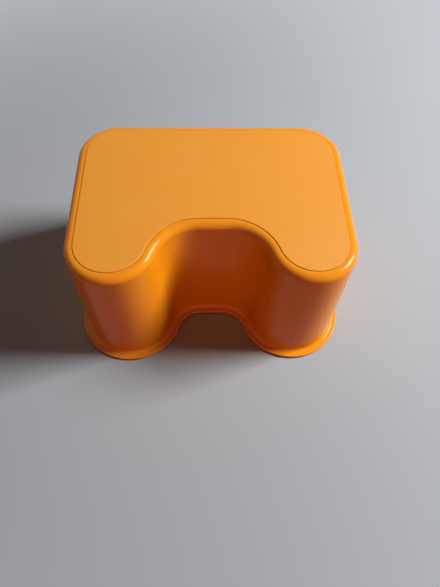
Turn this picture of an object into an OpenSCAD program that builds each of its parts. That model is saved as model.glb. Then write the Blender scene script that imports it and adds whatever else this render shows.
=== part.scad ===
// Child's step stool: one moulded shell with a wave-shaped notch in its front, a grained
// tread let into the top, and rubber pads let into the underside of the base flange.
// Millimetres, +Z up. The origin is on the floor under the middle of the top, and the
// notch faces -Y.

/* [Top] */
// Width of the top, where the walls would meet its plane
top_w = 330; // [290:1:380]
// Depth of the top, from the front of the legs to the back wall
top_d = 233; // [205:1:280]
// Height of the rim above the floor
height = 188.5; // [150:0.5:240]
// Radius of the four outer corners
corner_r = 50; // [38:1:62]

/* [Notch] */
// How far the notch reaches in from the front of the legs
notch_depth = 71; // [52:1:88]
// Straight stretch at the back of the notch
notch_flat = 32.5; // [20:0.5:50]
// Straight stretch at the front of each leg
leg_flat = 1.5; // [0.5:0.5:8]

/* [Shell] */
// Thickness of the walls
wall = 2.8; // [2:0.1:4]
// Thickness of the deck under the tread
deck_t = 3.2; // [2.4:0.1:4.5]
// Lean of the walls, which are wider apart at the floor
draft = 3.15; // [1:0.05:6]
// Radius of the rolled rim
rim_r = 9; // [7:0.5:12]

/* [Base flange] */
// How far the flange stands out from the wall
flange_w = 10.3; // [7:0.1:16]
// Thickness of the flange
flange_t = 3.6; // [2.6:0.1:5]
// Radius of the flange's two edges
flange_edge_r = 1.5; // [0.6:0.1:2]
// Radius of the blend between the wall and the flange
flange_fillet_r = 3; // [1:0.5:5]

/* [Ribs] */
// Thickness of a rib where it meets the deck
rib_t = 2; // [1.4:0.1:3]
// Thickness of a rib at its lower edge
rib_tip_t = 1.4; // [1:0.1:2]
// How far the ribs hang below the deck
rib_h = 10; // [5:0.5:20]
// Spacing of the ribs, both ways
rib_pitch = 37; // [28:1:60]

/* [Tread] */
// Distance of the tread's edge from the edge of the top
tread_inset = 11; // [9:0.5:18]
// Thickness of the tread
tread_t = 2; // [1.4:0.1:3]
// How far the tread stands above the rim
tread_proud = 0.8; // [0.4:0.1:1.2]
// Radius of the tread's upper edge
tread_edge_r = 0.6; // [0.2:0.1:1]
// Clearance round the tread in its seat
tread_gap = 0.3; // [0.1:0.05:0.6]

/* [Feet] */
// Width of a foot pad
foot_w = 7; // [5:0.5:8]
// Length of a foot pad along the flange, between its round ends
foot_l = 34; // [20:1:40]
// Thickness of a foot pad
foot_t = 2.6; // [2:0.1:3.2]
// How far a foot pad stands below the flange
foot_proud = 1.2; // [0.8:0.1:1.8]
// Clearance round a foot pad in its pocket
foot_gap = 0.2; // [0.1:0.05:0.4]

/* [Hidden] */

orange = [0.90, 0.45, 0.07];
orange_matte = [0.87, 0.53, 0.16];
rubber_grey = [0.16, 0.16, 0.17];

// Angle between neighbouring points of a round stretch: in plan, on the rim and on a small edge
plan_step = 7.5;
rim_step = 15;
edge_step = 30;
// Sides of a full turn of a foot pad's curves, the same at every size
$fn = 72;
// How far a cutting shape runs past the face that it cuts
over = 1;

// Plan of the top
back_y = top_d / 2;
front_y = -top_d / 2;
notch_y = front_y + notch_depth;
corner_x = top_w / 2 - corner_r;
// Two equal arcs, tangent to each other, carry the edge from the notch to the front of a leg.
wave_run = corner_x - leg_flat - notch_flat / 2;
wave_r = (pow(wave_run, 2) + pow(notch_depth, 2)) / (4 * notch_depth);
wave_turn = 2 * atan2(notch_depth, wave_run);
notch_c = [notch_flat / 2, notch_y - wave_r];
leg_c = [corner_x - leg_flat, front_y + wave_r];
front_c = [corner_x, front_y + corner_r];
rear_c = [corner_x, back_y - corner_r];

// Heights and offsets of the wall's section. An offset is measured outwards from the edge of the top.
base_z = foot_proud;
flange_z = base_z + flange_t;
seat_z = height + tread_proud - tread_t;
ceiling_z = seat_z - deck_t;
rim_c = [-rim_r * (1 - sin(draft)) / cos(draft), height - rim_r];
inner_rim_r = rim_r - wall;
flange_off = wall_off(flange_z) + flange_w;
flange_edge = min(flange_edge_r, 0.45 * flange_t);
fillet_z = flange_z + flange_fillet_r;
fillet_c = [wall_off(fillet_z) + flange_fillet_r / cos(draft), fillet_z];
foot_off = (inner_off(base_z) + flange_off - flange_edge) / 2;

// Offset of the drafted wall's outer and inner face at a height
function wall_off(z) = (height - z) * tan(draft);
function inner_off(z) = wall_off(z) - wall / cos(draft);

// Points along an arc about a centre, from one angle to another, no further apart than a step
function arc(c, r, from, to, step) =
  let (n = ceil(abs(to - from) / step))
  [for (i = [0:n]) let (a = from + (to - from) * i / n) c + r * [cos(a), sin(a)]];

// A list without its first point, which the arc before it already has
function after_first(points) = [for (i = [1:len(points) - 1]) points[i]];

// Right half of the stool's plan at an offset, from the middle of the notch round to the middle of the back
function half_plan(off) = concat(
  [[0, notch_y - off]],
  arc(notch_c, wave_r - off, 90, 90 - wave_turn, plan_step),
  after_first(arc(leg_c, wave_r + off, 270 - wave_turn, 270, plan_step)),
  arc(front_c, corner_r + off, 270, 360, plan_step),
  arc(rear_c, corner_r + off, 0, 90, plan_step),
  [[0, back_y + off]]
);

// The whole plan, anticlockwise from the middle of the notch
function plan(off) =
  let (half = half_plan(off), last = len(half) - 1)
  concat(half, [for (i = [last - 1:-1:1]) [-half[i].x, half[i].y]]);

// A solid whose plan changes with height: a section is a list of offsets and heights, from the bottom up.
// Each end is two faces that meet on the middle line, and each face starts at a point that sees all of it.
module loft(section) {
  rows = len(section);
  half = len(half_plan(0));
  n = len(plan(0));
  corner = half - 2 - ceil(90 / plan_step);
  right = [for (i = [0:half - 1]) (corner + i) % half];
  left = [for (i = right) (n - i) % n];
  points = [for (s = section) for (p = plan(s.x)) [p.x, p.y, s.y]];
  sides = [
    for (row = [0:rows - 2]) for (i = [0:n - 1])
      let (a = row * n + i, b = row * n + (i + 1) % n)
      each [[a, a + n, b + n], [a, b + n, b]]
  ];
  top = (rows - 1) * n;
  ends = [
    right,
    [for (i = [0:half - 1]) left[(half - i) % half]],
    [for (i = [0:half - 1]) top + right[(half - i) % half]],
    [for (i = left) top + i]
  ];
  polyhedron(points = points, faces = concat(sides, ends), convexity = 6);
}

// Outside of the shell, from the underside of the flange to the top of the rim
outer_section = concat(
  arc([flange_off - flange_edge, base_z + flange_edge], flange_edge, -90, 0, edge_step),
  arc([flange_off - flange_edge, flange_z - flange_edge], flange_edge, 0, 90, edge_step),
  arc(fillet_c, flange_fillet_r, 270, 180 + draft, edge_step),
  arc(rim_c, rim_r, draft, 90, rim_step)
);

// Hollow of the shell, from below the flange to the underside of the deck
hollow_section = concat(
  [[inner_off(base_z - over), base_z - over]],
  arc(rim_c, inner_rim_r, draft, asin((ceiling_z - rim_c.y) / inner_rim_r), rim_step)
);

// A tapered rib along X, hanging from the underside of the deck
module rib(length) {
  translate([0, 0, ceiling_z]) rotate([90, 0, 90]) linear_extrude(length, center = true)
    polygon([[-rib_t / 2, over], [-rib_tip_t / 2, -rib_h], [rib_tip_t / 2, -rib_h], [rib_t / 2, over]]);
}

// Crossed ribs that the hollow leaves standing under the deck
module ribs() {
  columns = floor(corner_x / rib_pitch);
  rows = floor(rear_c.y / rib_pitch + 0.5);
  for (i = [-columns:columns])
    translate([i * rib_pitch, 0, 0]) rotate(90) rib(2 * top_d);
  for (i = [-rows:rows - 1])
    translate([0, (i + 0.5) * rib_pitch, 0]) rib(2 * top_w);
}

module hollow() {
  difference() {
    loft(hollow_section);
    ribs();
  }
}

module tread_seat() {
  translate([0, 0, seat_z])
    linear_extrude(height - seat_z + over) polygon(plan(tread_gap - tread_inset));
}

// A band along an arc about the origin, centred on +X, with round ends
module foot_band(r, width, tall) {
  sweep = foot_l / r * 180 / PI;
  rotate(-sweep / 2) rotate_extrude(angle = sweep) translate([r - width / 2, 0]) square([width, tall]);
  for (side = [-1, 1])
    rotate(side * sweep / 2) translate([r, 0, 0]) cylinder(d = width, h = tall);
}

// Each foot lies on one arc of the flange: the arc's centre, its radius and the direction to the foot's middle
rear_foot = [rear_c, corner_r + foot_off, [1, 1]];
front_foot = [front_c, corner_r + foot_off, [1, -1]];
notch_foot = [notch_c, wave_r - foot_off, [sin(wave_turn / 2), cos(wave_turn / 2)]];

module place_foot(foot, side, grow, tall) {
  mirror([side < 0 ? 1 : 0, 0, 0])
    translate(foot[0]) rotate(atan2(foot[2].y, foot[2].x)) foot_band(foot[1], foot_w + 2 * grow, tall);
}

module foot(foot, side) {
  color(rubber_grey) place_foot(foot, side, 0, foot_t);
}

module foot_pockets() {
  for (foot = [rear_foot, front_foot, notch_foot], side = [-1, 1])
    place_foot(foot, side, foot_gap, foot_t);
}

module stool_body() {
  color(orange) difference() {
    loft(outer_section);
    hollow();
    tread_seat();
    foot_pockets();
  }
}

module tread_panel() {
  edge_z = height + tread_proud - tread_edge_r;
  color(orange_matte) loft(concat(
    [[-tread_inset, seat_z]],
    arc([-tread_inset - tread_edge_r, edge_z], tread_edge_r, 0, 90, edge_step)
  ));
}

module foot_rear_left() { foot(rear_foot, -1); }
module foot_rear_right() { foot(rear_foot, 1); }
module foot_front_left() { foot(front_foot, -1); }
module foot_front_right() { foot(front_foot, 1); }
module foot_notch_left() { foot(notch_foot, -1); }
module foot_notch_right() { foot(notch_foot, 1); }

stool_body();
tread_panel();
foot_rear_left();
foot_rear_right();
foot_front_left();
foot_front_right();
foot_notch_left();
foot_notch_right();
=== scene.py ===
# %% [markdown]
# # A child's step stool
#
# The real object is a low plastic stool, moulded in one go: a flat deck, a rolled rim, walls that lean
# out towards the floor, a flange round the base, and a wave-shaped notch in the front. A matte, grained
# tread lies in the deck, and rubber pads sit under the flange.
#
# The solid model gives the places and sizes. This lesson gives the stool its finished surfaces: every
# piece starts as one line in plan with one section swept round it, because that is how its mould is drawn.

# %% Load the solid model
import math

import bmesh
import bpy
from mathutils import Matrix, Vector


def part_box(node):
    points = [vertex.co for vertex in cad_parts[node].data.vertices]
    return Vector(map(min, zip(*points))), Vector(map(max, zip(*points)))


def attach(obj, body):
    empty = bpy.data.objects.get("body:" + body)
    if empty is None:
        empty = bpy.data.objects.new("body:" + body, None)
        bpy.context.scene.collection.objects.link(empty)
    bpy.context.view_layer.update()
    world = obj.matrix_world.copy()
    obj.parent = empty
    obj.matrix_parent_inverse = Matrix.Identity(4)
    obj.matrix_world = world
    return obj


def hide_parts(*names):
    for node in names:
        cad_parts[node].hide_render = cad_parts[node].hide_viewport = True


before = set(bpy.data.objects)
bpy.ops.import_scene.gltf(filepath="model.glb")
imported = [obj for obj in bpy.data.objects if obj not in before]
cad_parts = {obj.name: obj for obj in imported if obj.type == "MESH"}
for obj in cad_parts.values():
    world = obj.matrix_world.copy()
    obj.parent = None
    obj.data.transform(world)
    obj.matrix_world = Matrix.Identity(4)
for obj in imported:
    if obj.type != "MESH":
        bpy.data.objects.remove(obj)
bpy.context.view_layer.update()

MM = 0.001


# %% [markdown]
# ## Sizes
#
# A size that the solids show is read from them, so that the finished pieces follow the model. Only what
# no box can show, such as a radius or a wall's thickness, is written down in metres, each where it is
# first needed.

# %% Read the main sizes from the solids
TREAD_INSET = 11 * MM
DECK_T = 3.2 * MM
FLANGE_T = 3.6 * MM

body_low, body_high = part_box("stool_body")
tread_low, tread_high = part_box("tread_panel")
top_w = tread_high.x - tread_low.x + 2 * TREAD_INSET
top_d = tread_high.y - tread_low.y + 2 * TREAD_INSET
rim_z = body_high.z
base_z = body_low.z
seat_z = tread_low.z
tread_z = tread_high.z
ceiling_z = seat_z - DECK_T
flange_z = base_z + FLANGE_T
flange_off = body_high.x - top_w / 2
print("top, mm:", round(top_w / MM, 1), "by", round(top_d / MM, 1), "rim at", round(rim_z / MM, 1))

# %% [markdown]
# ## Camera
#
# The photograph looks down on the stool from close above its front. Its lens and place were worked out
# from the rim, the walls and the flange, so that all three land where the photograph has them. The camera
# is turned by three angles: how far it looks down, how far it turns to the right, and how far it leans.

# %% Place the camera
PHOTO_W, PHOTO_H = 440, 587
PHOTO_FOCAL_PX = 442.1
SENSOR = 36.0
CLIP_START = 10 * MM
CAMERA_PLACE = Vector((-9.05 * MM, -345.4 * MM, 596.1 * MM))
LOOK_DOWN = math.radians(62.25)
LOOK_RIGHT = math.radians(4.2)
LEAN = math.radians(3.21)


def camera_axes():
    """The directions to the camera's right, to its top and back from it."""
    forward = Vector((
        math.sin(LOOK_RIGHT) * math.cos(LOOK_DOWN),
        math.cos(LOOK_RIGHT) * math.cos(LOOK_DOWN),
        -math.sin(LOOK_DOWN),
    ))
    level = Vector((math.cos(LOOK_RIGHT), -math.sin(LOOK_RIGHT), 0))
    upright = level.cross(forward)
    right = math.cos(LEAN) * level + math.sin(LEAN) * upright
    up = math.cos(LEAN) * upright - math.sin(LEAN) * level
    return right, up, -forward


camera_data = bpy.data.cameras.new("photo_camera")
camera_data.sensor_width = SENSOR
camera_data.lens = PHOTO_FOCAL_PX / max(PHOTO_W, PHOTO_H) * SENSOR
camera_data.clip_start = CLIP_START
camera = bpy.data.objects.new("photo_camera", camera_data)
camera_turn = Matrix(camera_axes()).transposed().to_4x4()
camera.matrix_world = Matrix.Translation(CAMERA_PLACE) @ camera_turn
bpy.context.scene.collection.objects.link(camera)
bpy.context.scene.camera = camera
print("camera lens, mm:", round(camera_data.lens, 2))

# %% [markdown]
# ## The plan and the section
#
# A mould maker draws two lines. The plan is the edge of the top seen from above: four round corners, and
# two equal arcs that carry the front edge in a wave from each leg into the notch. The section is the
# wall cut through: how far each point lies outside the plan, and how high. Round stretches are arcs, so
# both lines are lists of arcs with straight runs between them.

# %% Draw the plan
CORNER_R = 50 * MM
NOTCH_DEPTH = 71 * MM
NOTCH_FLAT = 32.5 * MM
LEG_FLAT = 1.5 * MM
PLAN_STEP = math.radians(2.5)
QUARTER = math.pi / 2

corner_x = top_w / 2 - CORNER_R
front_y = -top_d / 2
notch_y = front_y + NOTCH_DEPTH
wave_run = corner_x - LEG_FLAT - NOTCH_FLAT / 2
wave_r = (wave_run**2 + NOTCH_DEPTH**2) / (4 * NOTCH_DEPTH)
wave_turn = 2 * math.atan2(NOTCH_DEPTH, wave_run)
notch_c = (NOTCH_FLAT / 2, notch_y - wave_r)
leg_c = (corner_x - LEG_FLAT, front_y + wave_r)
front_c = (corner_x, front_y + CORNER_R)
rear_c = (corner_x, top_d / 2 - CORNER_R)


def on_circle(centre, radius, angle):
    """The point of a circle at an angle from +X."""
    return centre[0] + radius * math.cos(angle), centre[1] + radius * math.sin(angle)


def arc(centre, radius, start, end, step=PLAN_STEP):
    """Points of an arc, both ends included, no further apart than a step."""
    count = max(1, math.ceil(abs(end - start) / step))
    return [on_circle(centre, radius, start + (end - start) * i / count) for i in range(count + 1)]


def mirrored(points):
    """The same points across the middle plane, in the order that keeps the line anticlockwise."""
    return [(-x, y) for x, y in reversed(points)]


right_half = (
    arc(notch_c, wave_r, QUARTER, QUARTER - wave_turn)
    + arc(leg_c, wave_r, 3 * QUARTER - wave_turn, 3 * QUARTER)[1:]
    + arc(front_c, CORNER_R, -QUARTER, 0)
    + arc(rear_c, CORNER_R, 0, QUARTER)
)
plan_line = right_half + mirrored(right_half)
print("plan points:", len(plan_line), "wave radius, mm:", round(wave_r / MM, 1))

# %% [markdown]
# ## Sweeping a section with Geometry Nodes
#
# Curve to Mesh carries the section round the plan. With the plan's normals set to Z Up, the section's X
# axis points outwards from the plan and its Y axis points down, so a section is drawn with its heights
# negative. The first and last points of the section then need a flat face each: the plan is moved out by
# the point's offset, filled, and lifted to the point's height. The first is the upper face and the last
# the lower one, which is flipped so that it looks down. A curve's own bevel could carry a section too, but
# this tree also closes the ends and sets the material, and it serves every piece.

# %% Helpers for node trees
def add_node(tree, kind, inputs=None, **options):
    """A new node with its options set and its inputs filled by a value or a link."""
    made = tree.nodes.new(kind)
    for option, value in options.items():
        setattr(made, option, value)
    for key, value in (inputs or {}).items():
        if isinstance(value, bpy.types.NodeSocket):
            tree.links.new(value, made.inputs[key])
        else:
            made.inputs[key].default_value = value
    return made


def calculate(tree, operation, *values):
    """The result of one step of arithmetic on numbers or links."""
    return add_node(tree, "ShaderNodeMath", dict(enumerate(values)), operation=operation).outputs[0]


def new_tree(name, kind, inputs, outputs):
    """A node tree with named sockets, and the sockets of its group input and group output."""
    tree = bpy.data.node_groups.new(name, kind)
    for socket, socket_type in inputs.items():
        tree.interface.new_socket(socket, in_out="INPUT", socket_type="NodeSocket" + socket_type)
    for socket, socket_type in outputs.items():
        tree.interface.new_socket(socket, in_out="OUTPUT", socket_type="NodeSocket" + socket_type)
    return tree, tree.nodes.new("NodeGroupInput").outputs, tree.nodes.new("NodeGroupOutput").inputs


# %% Build the sweeping tree
WELD = 0.001 * MM
SHARP_ANGLE = math.radians(35)


def end_face(tree, plan, section, index):
    """The plan at one section point's offset, filled and lifted to that point's height."""
    position = add_node(tree, "GeometryNodeInputPosition").outputs[0]
    point = add_node(
        tree, "GeometryNodeSampleIndex", {"Geometry": section, "Value": position, "Index": index},
        data_type="FLOAT_VECTOR",
    )
    parts = add_node(tree, "ShaderNodeSeparateXYZ", {0: point.outputs[0]}).outputs
    normal = add_node(tree, "GeometryNodeInputNormal").outputs[0]
    outwards = add_node(
        tree, "ShaderNodeVectorMath", {0: normal, "Scale": parts["X"]}, operation="SCALE"
    ).outputs[0]
    moved = add_node(tree, "GeometryNodeSetPosition", {"Geometry": plan, "Offset": outwards}).outputs[0]
    filled = add_node(tree, "GeometryNodeFillCurve", {"Curve": moved}, mode="NGONS").outputs[0]
    height = calculate(tree, "MULTIPLY", parts["Y"], -1.0)
    lift = add_node(tree, "ShaderNodeCombineXYZ", {"Z": height}).outputs[0]
    return add_node(tree, "GeometryNodeSetPosition", {"Geometry": filled, "Offset": lift}).outputs[0]


def join(tree, *parts):
    """Several meshes as one."""
    joined = add_node(tree, "GeometryNodeJoinGeometry")
    for part in parts:
        tree.links.new(part, joined.inputs[0])
    return joined.outputs[0]


def dress(tree, geometry, material, result):
    """Ends a tree: smooth faces, crisp edges where the surface turns sharply, and the material."""
    smooth = add_node(tree, "GeometryNodeSetShadeSmooth", {"Geometry": geometry, "Shade Smooth": True})
    angle = add_node(tree, "GeometryNodeInputMeshEdgeAngle").outputs["Unsigned Angle"]
    sharp = add_node(
        tree, "FunctionNodeCompare", {"A": angle, "B": SHARP_ANGLE}, operation="GREATER_THAN"
    ).outputs[0]
    crisp = add_node(
        tree, "GeometryNodeSetShadeSmooth",
        {"Geometry": smooth.outputs[0], "Selection": sharp, "Shade Smooth": False}, domain="EDGE",
    )
    real = add_node(tree, "GeometryNodeRealizeInstances", {"Geometry": crisp.outputs[0]})
    painted = add_node(tree, "GeometryNodeSetMaterial", {"Geometry": real.outputs[0], "Material": material})
    tree.links.new(painted.outputs[0], result)


def build_sweep():
    """The tree that carries a section round a plan and closes both ends."""
    tree, given, result = new_tree(
        "swept_moulding", "GeometryNodeTree",
        {"Plan": "Geometry", "Section": "Object", "Material": "Material"}, {"Solid": "Geometry"},
    )
    plan = add_node(tree, "GeometryNodeSetCurveNormal", {"Curve": given["Plan"]}, mode="Z_UP").outputs[0]
    section = add_node(tree, "GeometryNodeObjectInfo", {"Object": given["Section"]}).outputs["Geometry"]
    sides = add_node(tree, "GeometryNodeCurveToMesh", {"Curve": plan, "Profile Curve": section}).outputs[0]
    count = add_node(
        tree, "GeometryNodeAttributeDomainSize", {"Geometry": section}, component="CURVE"
    ).outputs["Point Count"]
    last = calculate(tree, "SUBTRACT", count, 1.0)
    upper = end_face(tree, plan, section, 0)
    lower = add_node(tree, "GeometryNodeFlipFaces", {"Mesh": end_face(tree, plan, section, last)}).outputs[0]
    whole = join(tree, sides, upper, lower)
    welded = add_node(tree, "GeometryNodeMergeByDistance", {"Geometry": whole, "Distance": WELD}).outputs[0]
    dress(tree, welded, given["Material"], result["Solid"])
    return tree


sweep_tree = build_sweep()
print("sweeping tree nodes:", len(sweep_tree.nodes))

# %% Helpers that turn curves into pieces
CUBIC_CM = 1e-6
helpers = []


def curve_object(name, lines, closed):
    """A helper curve of one straight-segment spline for each line of points."""
    data = bpy.data.curves.new(name, "CURVE")
    data.dimensions = "3D"
    for line in lines:
        spline = data.splines.new("POLY")
        spline.points.add(len(line) - 1)
        for target, point in zip(spline.points, line):
            target.co = (point[0], point[1], 0, 1)
        spline.use_cyclic_u = closed
    made = bpy.data.objects.new(name, data)
    bpy.context.scene.collection.objects.link(made)
    helpers.append(made)
    return made


def section_object(name, points):
    """A section from offsets and heights: its Y axis hangs down, so the heights change sign."""
    return curve_object(name, [[(off, -z) for off, z in points]], closed=False)


def add_modifier(source, tree, values):
    """Puts a tree on an object and sets the tree's inputs by their identifiers."""
    modifier = source.modifiers.new(tree.name, "NODES")
    modifier.node_group = tree
    for item in tree.interface.items_tree:
        if item.in_out == "INPUT" and item.name in values:
            modifier[item.identifier] = values[item.name]


def swept(name, lines, section, material=None):
    """A helper object whose modifier sweeps a section round closed lines."""
    source = curve_object(name, lines, closed=True)
    add_modifier(source, sweep_tree, {"Section": section, "Material": material})
    return source


def to_piece(source, name):
    """The evaluated helper as a plain mesh object at the origin, checked for open edges."""
    evaluated = source.evaluated_get(bpy.context.evaluated_depsgraph_get())
    mesh = bpy.data.meshes.new_from_object(evaluated)
    mesh.name = name
    piece = bpy.data.objects.new(name, mesh)
    bpy.context.scene.collection.objects.link(piece)
    check = bmesh.new()
    check.from_mesh(mesh)
    loose = sum(1 for edge in check.edges if not edge.is_manifold)
    triangles = len(check.calc_loop_triangles())
    volume = round(check.calc_volume() / CUBIC_CM, 1)
    print(name, "triangles:", triangles, "open edges:", loose, "cm3:", volume)
    check.free()
    return piece


# %% [markdown]
# ## Marks that more than one finish shares
#
# Moulded plastic and rubber are never one flat colour. Three effects are built once as shader groups, and
# each finish places them with its own values: a fine grain, as a spark-eroded mould leaves it, the soft
# smudges and hair-fine scratches of use, and a band of wear at a given height, which on this stool picks
# out the rim and the flange because both run level. Painted images could show all this too, but noise needs
# no file, and it is as sharp close up as from afar.

# %% Fine grain
SPECKLE_LIMITS = (0.35, 0.65)


def mask_between(tree, value, limits, kind="SMOOTHSTEP"):
    """A mask that rises from 0 to 1 while a value goes from the lower to the upper limit."""
    inputs = {"Value": value, "From Min": limits[0], "From Max": limits[1]}
    return add_node(tree, "ShaderNodeMapRange", inputs, interpolation_type=kind).outputs[0]


def build_grain():
    """Noise as a bump height, and a speckle of pits and lands for gloss and for painted shade in pits."""
    tree, given, result = new_tree(
        "fine_grain", "ShaderNodeTree",
        {"Vector": "Vector", "Grains per metre": "Float"}, {"Height": "Float", "Speckle": "Float"},
    )
    grain = add_node(
        tree, "ShaderNodeTexNoise",
        {"Vector": given["Vector"], "Scale": given["Grains per metre"], "Detail": 2.0, "Roughness": 0.55},
    ).outputs[0]
    tree.links.new(grain, result["Height"])
    tree.links.new(mask_between(tree, grain, SPECKLE_LIMITS), result["Speckle"])
    return tree


grain_group = build_grain()
print("shader group:", grain_group.name)

# %% Marks of use
SMUDGE_LIMITS = (0.48, 0.75)
SCRATCH_LIMITS = (0.7, 0.8)
SCRATCH_TURN = (0.0, 0.0, 0.5)
SCRATCH_STRETCH = (0.06, 1.0, 1.0)


def build_marks():
    """Soft smudges, and scratches that run one way and come and go as the smudges do."""
    tree, given, result = new_tree(
        "marks_of_use", "ShaderNodeTree",
        {"Vector": "Vector", "Smudges per metre": "Float", "Scratches per metre": "Float"},
        {"Smudge": "Float", "Scratch": "Float"},
    )
    cloud = add_node(
        tree, "ShaderNodeTexNoise",
        {"Vector": given["Vector"], "Scale": given["Smudges per metre"], "Detail": 4.0, "Distortion": 0.6},
    ).outputs[0]
    tree.links.new(mask_between(tree, cloud, SMUDGE_LIMITS), result["Smudge"])
    streaked = add_node(
        tree, "ShaderNodeMapping",
        {"Vector": given["Vector"], "Rotation": SCRATCH_TURN, "Scale": SCRATCH_STRETCH},
    ).outputs[0]
    hairs = add_node(
        tree, "ShaderNodeTexNoise",
        {"Vector": streaked, "Scale": given["Scratches per metre"], "Detail": 1.0, "Distortion": 1.2},
    ).outputs[0]
    scratches = mask_between(tree, hairs, SCRATCH_LIMITS, kind="LINEAR")
    tree.links.new(calculate(tree, "MULTIPLY", scratches, cloud), result["Scratch"])
    return tree


marks_group = build_marks()
print("shader group:", marks_group.name)

# %% Wear along a level edge
PATCHES_PER_METRE = 90.0
PATCH_LIMITS = (0.45, 0.7)


def build_level_wear():
    """A broken band of wear, strongest at a given height and gone at its reach above and below."""
    tree, given, result = new_tree(
        "level_wear", "ShaderNodeTree",
        {"Vector": "Vector", "Level": "Float", "Reach": "Float"}, {"Wear": "Float"},
    )
    height = add_node(tree, "ShaderNodeSeparateXYZ", {0: given["Vector"]}).outputs["Z"]
    distance = calculate(tree, "ABSOLUTE", calculate(tree, "SUBTRACT", height, given["Level"]))
    band = add_node(
        tree, "ShaderNodeMapRange",
        {"Value": distance, "From Min": 0.0, "From Max": given["Reach"], "To Min": 1.0, "To Max": 0.0},
        interpolation_type="SMOOTHSTEP",
    ).outputs[0]
    broken = add_node(
        tree, "ShaderNodeTexNoise", {"Vector": given["Vector"], "Scale": PATCHES_PER_METRE, "Detail": 5.0}
    ).outputs[0]
    patches = mask_between(tree, broken, PATCH_LIMITS, kind="LINEAR")
    tree.links.new(calculate(tree, "MULTIPLY", band, patches), result["Wear"])
    return tree


wear_group = build_level_wear()
print("shader group:", wear_group.name)

# %% [markdown]
# ## Finishes
#
# The shell is polypropylene from a polished mould: a deep, saturated orange with a gloss that is a little
# uneven, paler where the rim and the flange are rubbed. The tread is the same plastic with a fine grain,
# so it scatters the light and looks paler and matte. The pads are soft dark rubber. Values that are the
# same all over stay on the shader's own sockets, and only what changes over the surface is linked.

# %% Helpers for materials
# A Mix node has sockets of its own for each kind of data. These are the ones for colours.
MIX_FACTOR, MIX_LOW, MIX_HIGH, MIX_RESULT = 0, 6, 7, 2


def new_material(name, **sockets):
    """A material with its constant values on the shader's own sockets, and its object coordinates."""
    material = bpy.data.materials.new(name)
    material.use_nodes = True
    tree = material.node_tree
    shader = tree.nodes["Principled BSDF"]
    for socket, value in sockets.items():
        shader.inputs[socket.replace("_", " ")].default_value = value
    place = add_node(tree, "ShaderNodeTexCoord").outputs["Object"]
    return material, tree, shader, place


def use_group(tree, group, inputs):
    """Places a shared group in a material and gives its outputs."""
    return add_node(tree, "ShaderNodeGroup", inputs, node_tree=group).outputs


def mix_colour(tree, mask, low, high):
    """A colour that goes from low to high with a mask. Either may be a colour or a link."""
    inputs = {MIX_FACTOR: mask, MIX_LOW: low, MIX_HIGH: high}
    return add_node(tree, "ShaderNodeMix", inputs, data_type="RGBA").outputs[MIX_RESULT]


def ramp(tree, value, low, high):
    """A value from 0 to 1, brought into a range."""
    return add_node(tree, "ShaderNodeMapRange", {"Value": value, "To Min": low, "To Max": high}).outputs[0]


def set_bump(tree, shader, height, strength, depth):
    """Lets a height from 0 to 1 tilt the surface, as if it were that deep."""
    bump = add_node(tree, "ShaderNodeBump", {"Height": height, "Strength": strength, "Distance": depth})
    tree.links.new(bump.outputs[0], shader.inputs["Normal"])


# %% Glossy orange shell
PLASTIC_IOR = 1.49
ORANGE = (0.87, 0.29, 0.007, 1.0)
ORANGE_DEEP = (0.85, 0.272, 0.006, 1.0)
ORANGE_RUBBED = (0.89, 0.33, 0.035, 1.0)
SHELL_SPECULAR = 0.18
SHELL_ROUGHNESS = (0.16, 0.24)
RUB_STRENGTH = 0.35
RIM_RUB_REACH = 5 * MM
FLANGE_RUB_REACH = 3 * MM


def shell_finish():
    """Saturated orange with an uneven gloss, rubbed a little paler along the rim and the flange."""
    material, tree, shader, place = new_material(
        "glossy_orange_shell", IOR=PLASTIC_IOR, Specular_IOR_Level=SHELL_SPECULAR
    )
    marks = use_group(
        tree, marks_group, {"Vector": place, "Smudges per metre": 14.0, "Scratches per metre": 520.0}
    )
    grain = use_group(tree, grain_group, {"Vector": place, "Grains per metre": 900.0})
    rubs = [
        use_group(tree, wear_group, {"Vector": place, "Level": level, "Reach": reach})["Wear"]
        for level, reach in ((rim_z, RIM_RUB_REACH), (flange_z, FLANGE_RUB_REACH))
    ]
    rubbed = calculate(tree, "MULTIPLY", calculate(tree, "MAXIMUM", *rubs), RUB_STRENGTH)
    base = mix_colour(tree, marks["Smudge"], ORANGE, ORANGE_DEEP)
    tree.links.new(mix_colour(tree, rubbed, base, ORANGE_RUBBED), shader.inputs["Base Color"])
    dull = calculate(tree, "ADD", marks["Scratch"], rubbed)
    hazed = calculate(tree, "MAXIMUM", dull, marks["Smudge"])
    tree.links.new(ramp(tree, hazed, *SHELL_ROUGHNESS), shader.inputs["Roughness"])
    set_bump(tree, shader, grain["Height"], strength=0.05, depth=0.1 * MM)
    return material


shell_material = shell_finish()
print("finish:", shell_material.name)

# %% Matte grained tread
TREAD_ORANGE = (0.85, 0.34, 0.032, 1.0)
# Painted shade: the grain's pits, which sit low in the bump, take this darker orange.
TREAD_PIT_SHADE = (0.78, 0.285, 0.02, 1.0)
TREAD_SCUFF = (0.84, 0.41, 0.115, 1.0)
TREAD_ROUGHNESS = (0.62, 0.52)
SCUFF_STRENGTH = 0.12


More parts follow.
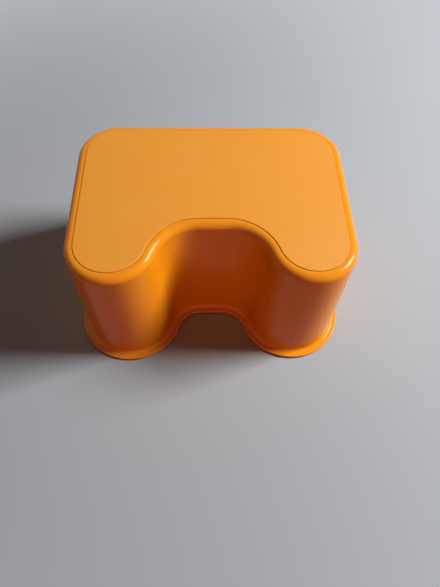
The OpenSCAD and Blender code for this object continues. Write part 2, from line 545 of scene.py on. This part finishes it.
def tread_finish():
    """Orange with pits darkened as painted shade, a little paler and smoother where feet have scuffed it."""
    material, tree, shader, place = new_material("matte_orange_tread", IOR=PLASTIC_IOR)
    grain = use_group(tree, grain_group, {"Vector": place, "Grains per metre": 1400.0})
    marks = use_group(
        tree, marks_group, {"Vector": place, "Smudges per metre": 17.0, "Scratches per metre": 380.0}
    )
    # Painted shade: where the grain sits low, the tread takes the darker orange.
    pits = mix_colour(tree, grain["Speckle"], TREAD_PIT_SHADE, TREAD_ORANGE)
    worn = calculate(tree, "MAXIMUM", marks["Smudge"], marks["Scratch"])
    scuffed = calculate(tree, "MULTIPLY", worn, SCUFF_STRENGTH)
    tree.links.new(mix_colour(tree, scuffed, pits, TREAD_SCUFF), shader.inputs["Base Color"])
    tree.links.new(ramp(tree, grain["Speckle"], *TREAD_ROUGHNESS), shader.inputs["Roughness"])
    set_bump(tree, shader, grain["Height"], strength=0.35, depth=0.15 * MM)
    return material


tread_material = tread_finish()
print("finish:", tread_material.name)

# %% Soft dark rubber
RUBBER = (0.022, 0.022, 0.024, 1.0)
RUBBER_DUSTY = (0.075, 0.072, 0.068, 1.0)
RUBBER_IOR = 1.5
RUBBER_SPECULAR = 0.35
RUBBER_ROUGHNESS = (0.7, 0.85)


def rubber_finish():
    """Almost black, with dust that clings in soft patches."""
    material, tree, shader, place = new_material(
        "soft_dark_rubber", IOR=RUBBER_IOR, Specular_IOR_Level=RUBBER_SPECULAR
    )
    grain = use_group(tree, grain_group, {"Vector": place, "Grains per metre": 1100.0})
    marks = use_group(
        tree, marks_group, {"Vector": place, "Smudges per metre": 40.0, "Scratches per metre": 300.0}
    )
    dusty = mix_colour(tree, marks["Smudge"], RUBBER, RUBBER_DUSTY)
    tree.links.new(dusty, shader.inputs["Base Color"])
    tree.links.new(ramp(tree, grain["Speckle"], *RUBBER_ROUGHNESS), shader.inputs["Roughness"])
    set_bump(tree, shader, grain["Height"], strength=0.3, depth=0.12 * MM)
    return material


rubber_material = rubber_finish()
print("finish:", rubber_material.name)

# %% [markdown]
# ## Foot pads
#
# Each pad is a strip of rubber that follows one arc of the flange, with round ends and a soft lower edge.
# Its outline is two concentric arcs and two half circles, and the same sweep gives it its edge. The pads
# come before the shell because the shell's pockets are cut with their outlines, grown by a clearance.

# %% Outline the pads
WALL = 2.8 * MM
DRAFT = math.radians(3.15)
FLANGE_EDGE_R = 1.5 * MM
FOOT_W = 7 * MM
FOOT_L = 34 * MM
ROUND_STEP = math.radians(15)


def wall_off(z):
    """How far the drafted wall's outer face lies outside the plan at a height."""
    return (rim_z - z) * math.tan(DRAFT)


def inner_off(z):
    """The same for the wall's inner face."""
    return wall_off(z) - WALL / math.cos(DRAFT)


foot_off = (inner_off(base_z) + flange_off - FLANGE_EDGE_R) / 2
# The centre and radius of the arc that a pad lies on, and the direction from there to the pad's middle
FOOT_ARCS = {
    "rear": (rear_c, CORNER_R + foot_off, QUARTER / 2),
    "front": (front_c, CORNER_R + foot_off, -QUARTER / 2),
    "notch": (notch_c, wave_r - foot_off, QUARTER - wave_turn / 2),
}


def foot_outline(place, side, grow=0.0):
    """The line round a pad, anticlockwise, grown on all sides by a clearance."""
    centre, radius, middle = FOOT_ARCS[place]
    half_turn = FOOT_L / radius / 2
    half_width = FOOT_W / 2 + grow
    start = middle - half_turn
    end = middle + half_turn
    start_c = on_circle(centre, radius, start)
    end_c = on_circle(centre, radius, end)
    outline = (
        arc(centre, radius + half_width, start, end)
        + arc(end_c, half_width, end, end + math.pi, ROUND_STEP)[1:-1]
        + arc(centre, radius - half_width, end, start)
        + arc(start_c, half_width, start + math.pi, start + 2 * math.pi, ROUND_STEP)[1:-1]
    )
    return outline if side == "right" else mirrored(outline)


foot_places = [(place, side) for place in FOOT_ARCS for side in ("left", "right")]
print("pads:", foot_places)

# %% Make the pads
FOOT_EDGE_R = 0.6 * MM
# Width of the flat ring by which a section ends next to the face that closes it
CAP_RING = 0.4 * MM
foot_low, foot_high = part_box("foot_rear_right")
foot_t = foot_high.z - foot_low.z
foot_section = section_object(
    "foot_section",
    [(-CAP_RING, foot_t), (0, foot_t)]
    + arc((-FOOT_EDGE_R, FOOT_EDGE_R), FOOT_EDGE_R, 0, -QUARTER, ROUND_STEP)
    + [(-FOOT_EDGE_R - CAP_RING, 0)],
)
for place, side in foot_places:
    source = swept(f"foot_line_{place}_{side}", [foot_outline(place, side)], foot_section, rubber_material)
    pad = to_piece(source, f"rubber_foot_{place}_{side}")
    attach(pad, "root")
    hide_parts(f"foot_{place}_{side}")

# %% [markdown]
# ## Tread
#
# The tread is a thin plate with the plan's outline, set in from the edge, whose upper edge is rounded. It
# stands a little above the rim, so its edge catches the light on one side and throws a thin dark line on
# the other. A line drawn on the deck would stay flat under every light, so the tread is a piece of its
# own, swept round the same plan.

# %% Make the tread
TREAD_EDGE_R = 0.6 * MM
tread_section = section_object(
    "tread_section",
    [(-TREAD_INSET - TREAD_EDGE_R - CAP_RING, tread_z)]
    + arc((-TREAD_INSET - TREAD_EDGE_R, tread_z - TREAD_EDGE_R), TREAD_EDGE_R, QUARTER, 0, ROUND_STEP)
    + [(-TREAD_INSET, seat_z), (-TREAD_INSET - CAP_RING, seat_z)],
)
tread = to_piece(swept("tread_line", [plan_line], tread_section, tread_material), "grained_tread")
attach(tread, "root")
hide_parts("tread_panel")

# %% [markdown]
# ## Shell
#
# The shell's section starts on the tread's seat, climbs over the rim, runs down the leaning wall, blends
# into the flange, turns under it and climbs the inside to the underside of the deck. One sweep of it gives
# the whole moulding with an even wall, apart from its ribs and pockets. A block with bevels and a Solidify
# modifier would come close, but its rim and its flange wouldn't keep their shape all along the wave.

# %% Draw the shell's section
TREAD_GAP = 0.3 * MM
LIP_R = 0.3 * MM
RIM_R = 9 * MM
FLANGE_FILLET_R = 5 * MM
RIM_STEP = math.radians(6)
EDGE_STEP = math.radians(15)

rim_c = (-RIM_R * (1 - math.sin(DRAFT)) / math.cos(DRAFT), rim_z - RIM_R)
inner_rim_r = RIM_R - WALL
ceiling_turn = math.asin((ceiling_z - rim_c[1]) / inner_rim_r)
fillet_z = flange_z + FLANGE_FILLET_R
fillet_c = (wall_off(fillet_z) + FLANGE_FILLET_R / math.cos(DRAFT), fillet_z)
flange_edge_x = flange_off - FLANGE_EDGE_R
seat_off = TREAD_GAP - TREAD_INSET
inner_arc = arc(rim_c, inner_rim_r, DRAFT, ceiling_turn, RIM_STEP)

shell_points = (
    [(seat_off - CAP_RING, seat_z), (seat_off, seat_z)]
    + arc((seat_off + LIP_R, rim_z - LIP_R), LIP_R, math.pi, QUARTER, EDGE_STEP)
    + arc(rim_c, RIM_R, QUARTER, DRAFT, RIM_STEP)
    + arc(fillet_c, FLANGE_FILLET_R, math.pi + DRAFT, 3 * QUARTER, EDGE_STEP)
    + arc((flange_edge_x, flange_z - FLANGE_EDGE_R), FLANGE_EDGE_R, QUARTER, 0, EDGE_STEP)
    + arc((flange_edge_x, base_z + FLANGE_EDGE_R), FLANGE_EDGE_R, 0, -QUARTER, EDGE_STEP)
    + [(inner_off(base_z), base_z)]
    + inner_arc
    + [(inner_arc[-1][0] - CAP_RING, ceiling_z)]
)
shell_section = section_object("shell_section", shell_points)
print("section points:", len(shell_points))

# %% [markdown]
# ## Ribs and pockets
#
# A thin deck would bend under a foot, so a moulding like this has a waffle of ribs below it, each thinner at
# its lower edge so that it leaves the mould. One tapered rib is made from a cube and set on a row of points,
# once for each direction. Booleans trim the waffle to the room inside, join it to the shell, and cut the
# pockets for the pads. The ribs reach a little way into the deck and the walls, so that they join cleanly.

# %% Build the tree for ribs and pockets
RIB_T = 2 * MM
RIB_TIP_T = 1.4 * MM
RIB_H = 10 * MM
RIB_PITCH = 37 * MM
# One column runs through the middle. The nearest rows lie half a pitch before and behind the middle.
rib_columns = 2 * math.floor(corner_x / RIB_PITCH) + 1
rib_rows = 2 * math.floor(rear_c[1] / RIB_PITCH + 0.5)


def rib_set(tree, given, count, across):
    """A row of tapered ribs, a pitch apart. Across ribs run along X, and the others along Y."""
    size = add_node(
        tree, "ShaderNodeCombineXYZ", {"X": given["Length"], "Y": given["Thickness"], "Z": given["Height"]}
    ).outputs[0]
    block = add_node(tree, "GeometryNodeMeshCube", {"Size": size}).outputs["Mesh"]
    place = add_node(tree, "GeometryNodeInputPosition").outputs[0]
    height = add_node(tree, "ShaderNodeSeparateXYZ", {0: place}).outputs["Z"]
    is_low = calculate(tree, "LESS_THAN", height, 0.0)
    taper = ramp(tree, is_low, 1.0, given["Taper"])
    squeeze = add_node(tree, "ShaderNodeCombineXYZ", {"X": 1.0, "Y": taper, "Z": 1.0}).outputs[0]
    squeezed = add_node(tree, "ShaderNodeVectorMath", {0: place, 1: squeeze}, operation="MULTIPLY").outputs[0]
    rib = add_node(tree, "GeometryNodeSetPosition", {"Geometry": block, "Position": squeezed}).outputs[0]
    span = calculate(tree, "MULTIPLY", calculate(tree, "SUBTRACT", given[count], 1.0), given["Pitch"])
    first = calculate(tree, "MULTIPLY", span, -0.5)
    axis = "Y" if across else "X"
    start = add_node(tree, "ShaderNodeCombineXYZ", {axis: first, "Z": given["Middle"]}).outputs[0]
    step = add_node(tree, "ShaderNodeCombineXYZ", {axis: given["Pitch"]}).outputs[0]
    line = add_node(
        tree, "GeometryNodeMeshLine", {"Count": given[count], "Start Location": start, "Offset": step}
    ).outputs[0]
    turn = (0.0, 0.0, 0.0 if across else QUARTER)
    ribs = add_node(tree, "GeometryNodeInstanceOnPoints", {"Points": line, "Instance": rib, "Rotation": turn})
    return add_node(tree, "GeometryNodeRealizeInstances", {"Geometry": ribs.outputs[0]}).outputs[0]


def combine(tree, first, second, operation):
    """A boolean of two closed meshes. Only a difference tells its two meshes apart."""
    made = add_node(tree, "GeometryNodeMeshBoolean", operation=operation, solver="MANIFOLD")
    tree.links.new(first, made.inputs["Mesh 1" if operation == "DIFFERENCE" else "Mesh 2"])
    tree.links.new(second, made.inputs["Mesh 2"])
    return made.outputs[0]


def build_ribs_and_pockets():
    """The tree that adds the waffle to the swept shell and cuts the pockets."""
    numbers = ("Length", "Thickness", "Taper", "Height", "Middle", "Pitch")
    tree, given, result = new_tree(
        "ribs_and_pockets", "GeometryNodeTree",
        {"Shell": "Geometry", "Room": "Object", "Pockets": "Object", "Material": "Material",
         "Columns": "Int", "Rows": "Int", **{number: "Float" for number in numbers}},
        {"Solid": "Geometry"},
    )
    columns = rib_set(tree, given, "Columns", across=False)
    rows = rib_set(tree, given, "Rows", across=True)
    room = add_node(tree, "GeometryNodeObjectInfo", {"Object": given["Room"]}).outputs["Geometry"]
    pockets = add_node(tree, "GeometryNodeObjectInfo", {"Object": given["Pockets"]}).outputs["Geometry"]
    waffle = combine(tree, combine(tree, columns, rows, "UNION"), room, "INTERSECT")
    ribbed = combine(tree, given["Shell"], waffle, "UNION")
    dress(tree, combine(tree, ribbed, pockets, "DIFFERENCE"), given["Material"], result["Solid"])
    return tree


ribs_tree = build_ribs_and_pockets()
print("ribs:", rib_columns, "front to back,", rib_rows, "across")

# %% Make the shell
FOOT_GAP = 0.2 * MM
# How far a rib reaches into the deck and the walls
RIB_ROOT = 0.6 * MM
rib_height = RIB_H + 2 * RIB_ROOT
room_z = ceiling_z - 2 * RIB_H

room_section = section_object(
    "room_section",
    [(x + RIB_ROOT, z + RIB_ROOT) for x, z in reversed(inner_arc)]
    + [(inner_off(room_z) + RIB_ROOT, room_z)],
)
pocket_section = section_object("pocket_section", [(0, foot_t), (0, -foot_t)])
room = swept("room", [plan_line], room_section)
pocket_lines = [foot_outline(place, side, FOOT_GAP) for place, side in foot_places]
pockets = swept("pockets", pocket_lines, pocket_section)

shell_source = swept("shell_line", [plan_line], shell_section, shell_material)
add_modifier(shell_source, ribs_tree, {
    "Room": room,
    "Pockets": pockets,
    "Material": shell_material,
    "Columns": rib_columns,
    "Rows": rib_rows,
    "Length": 2 * top_w,
    "Thickness": RIB_T,
    "Taper": RIB_TIP_T / RIB_T,
    "Height": rib_height,
    "Middle": ceiling_z - RIB_H + rib_height / 2,
    "Pitch": RIB_PITCH,
})
shell = to_piece(shell_source, "moulded_shell")
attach(shell, "root")
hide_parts("stool_body")
for helper in helpers:
    bpy.data.objects.remove(helper)

# %% [markdown]
# ## Floor
#
# The stool stands on one large plain sheet. A single face is enough, because its colour fades into the
# backdrop's long before it ends, so that no edge shows. Light Path tells the rays apart: what the camera or
# a gloss sees of the sheet is pale, and what the sheet throws back on the stool is a dimmer, warm painted
# bounce light. It stands in for the light that passes through thin orange plastic and deepens its shaded
# walls.

# %% Make the floor
FLOOR_SIZE = 24.0
FLOOR_ROUGHNESS = 0.8
FLOOR_GREY = (0.42, 0.45, 0.478, 1.0)
FLOOR_GREY_DEEP = (0.4, 0.429, 0.455, 1.0)
# Painted bounce light: the floor's colour only for light it throws onto the stool, warm and dim.
FLOOR_BOUNCE = (0.2, 0.12, 0.08, 1.0)
CLOUDS_PER_METRE = 1.3
BACKDROP = (0.6, 0.62, 0.64, 1.0)
BLACK = (0.0, 0.0, 0.0, 1.0)
# Distances from the middle of the stool between which the floor fades into the backdrop
FADE_LIMITS = (0.35, 1.4)


def seen_directly(tree):
    """A mask of the rays that show a surface as such: from the camera, by reflection or through glass."""
    rays = add_node(tree, "ShaderNodeLightPath").outputs
    seen = rays["Is Camera Ray"]
    for ray in ("Is Glossy Ray", "Is Transmission Ray"):
        seen = calculate(tree, "MAXIMUM", seen, rays[ray])
    return seen


def floor_finish():
    """Pale, faintly clouded grey that turns into the backdrop's light far away."""
    material, tree, shader, place = new_material(
        "pale_floor", Roughness=FLOOR_ROUGHNESS, Specular_IOR_Level=0.0, Emission_Strength=1.0
    )
    clouds = add_node(
        tree, "ShaderNodeTexNoise", {"Vector": place, "Scale": CLOUDS_PER_METRE, "Detail": 3.0}
    ).outputs[0]
    pale = mix_colour(tree, clouds, FLOOR_GREY, FLOOR_GREY_DEEP)
    seen = seen_directly(tree)
    away = add_node(tree, "ShaderNodeVectorMath", {0: place}, operation="LENGTH").outputs["Value"]
    faded = calculate(tree, "MULTIPLY", mask_between(tree, away, FADE_LIMITS), seen)
    near = mix_colour(tree, seen, FLOOR_BOUNCE, pale)
    tree.links.new(mix_colour(tree, faded, near, BLACK), shader.inputs["Base Color"])
    tree.links.new(mix_colour(tree, faded, BLACK, BACKDROP), shader.inputs["Emission Color"])
    return material


corner_signs = ((-1, -1), (1, -1), (1, 1), (-1, 1))
floor_mesh = bpy.data.meshes.new("floor")
floor_mesh.from_pydata(
    [(x * FLOOR_SIZE / 2, y * FLOOR_SIZE / 2, 0) for x, y in corner_signs], [], [(0, 1, 2, 3)]
)
floor_mesh.materials.append(floor_finish())
floor = bpy.data.objects.new("floor", floor_mesh)
bpy.context.scene.collection.objects.link(floor)
print("floor, m:", FLOOR_SIZE)

# %% [markdown]
# ## Light
#
# One soft lamp on the right, about 40 degrees up, gives most of the light, so the rim carries long, thin
# highlights and the notch falls into shade. A low lamp behind the left corner keeps the far sides readable.
# It leaves no highlight, which would draw a pale line along the left rim. A low, warm lamp in front and a
# dim, warm sky stand in for the light that passes through thin plastic and warms its shaded walls. Together
# they light the top at about the level at which a colour renders as it is written.

# %% Place the lights
LAMP_DISTANCE = 2.4
LOW_ELEVATION = math.radians(8)
SIDE_AZIMUTH = math.radians(8)
SIDE_ELEVATION = math.radians(41)
SIDE_SIZE = (0.75, 0.8)
SIDE_POWER = 80.0
SIDE_COLOUR = (1.0, 1.0, 1.0)
REAR_AZIMUTH = math.radians(126)
REAR_SIZE = (3.0, 0.55)
REAR_POWER = 16.0
REAR_COLOUR = (1.0, 0.97, 0.94)
FRONT_AZIMUTH = math.radians(-90)
FRONT_SIZE = (1.8, 0.5)
FRONT_POWER = 9.5
FRONT_COLOUR = (1.0, 0.32, 0.18)
SKY = (1.0, 0.7, 0.55, 1.0)
SKY_STRENGTH = 0.03
STOOL_MIDDLE = Vector((0, 0, rim_z / 2))


def soft_lamp(name, azimuth, elevation, size, power, colour, highlight=True):
    """A soft rectangular lamp, with or without a highlight. Azimuth runs from +X towards +Y."""
    data = bpy.data.lights.new(name, "AREA")
    data.shape = "RECTANGLE"
    data.size, data.size_y = size
    data.energy = power
    data.color = colour
    lamp = bpy.data.objects.new(name, data)
    level = math.cos(elevation)
    towards = Vector((level * math.cos(azimuth), level * math.sin(azimuth), math.sin(elevation)))
    lamp.location = STOOL_MIDDLE + LAMP_DISTANCE * towards
    lamp.rotation_mode = "QUATERNION"
    lamp.rotation_quaternion = (-towards).to_track_quat("-Z", "Y")
    lamp.visible_glossy = highlight
    bpy.context.scene.collection.objects.link(lamp)


def sky():
    """Dim, even light from all round, where the camera and a gloss see the pale backdrop instead."""
    world = bpy.data.worlds.new("sky")
    world.use_nodes = True
    tree = world.node_tree
    tree.nodes.clear()
    even = add_node(tree, "ShaderNodeBackground", {"Color": SKY, "Strength": SKY_STRENGTH}).outputs[0]
    pale = add_node(tree, "ShaderNodeBackground", {"Color": BACKDROP, "Strength": 1.0}).outputs[0]
    either = add_node(tree, "ShaderNodeMixShader", {0: seen_directly(tree), 1: even, 2: pale}).outputs[0]
    add_node(tree, "ShaderNodeOutputWorld", {"Surface": either})
    bpy.context.scene.world = world


soft_lamp("side_lamp", SIDE_AZIMUTH, SIDE_ELEVATION, SIDE_SIZE, SIDE_POWER, SIDE_COLOUR)
soft_lamp("rear_lamp", REAR_AZIMUTH, LOW_ELEVATION, REAR_SIZE, REAR_POWER, REAR_COLOUR, highlight=False)
soft_lamp("front_lamp", FRONT_AZIMUTH, LOW_ELEVATION, FRONT_SIZE, FRONT_POWER, FRONT_COLOUR)
sky()
bpy.context.scene.view_settings.view_transform = "Standard"
print("lamps, W:", SIDE_POWER, REAR_POWER, FRONT_POWER, "sky:", SKY_STRENGTH)
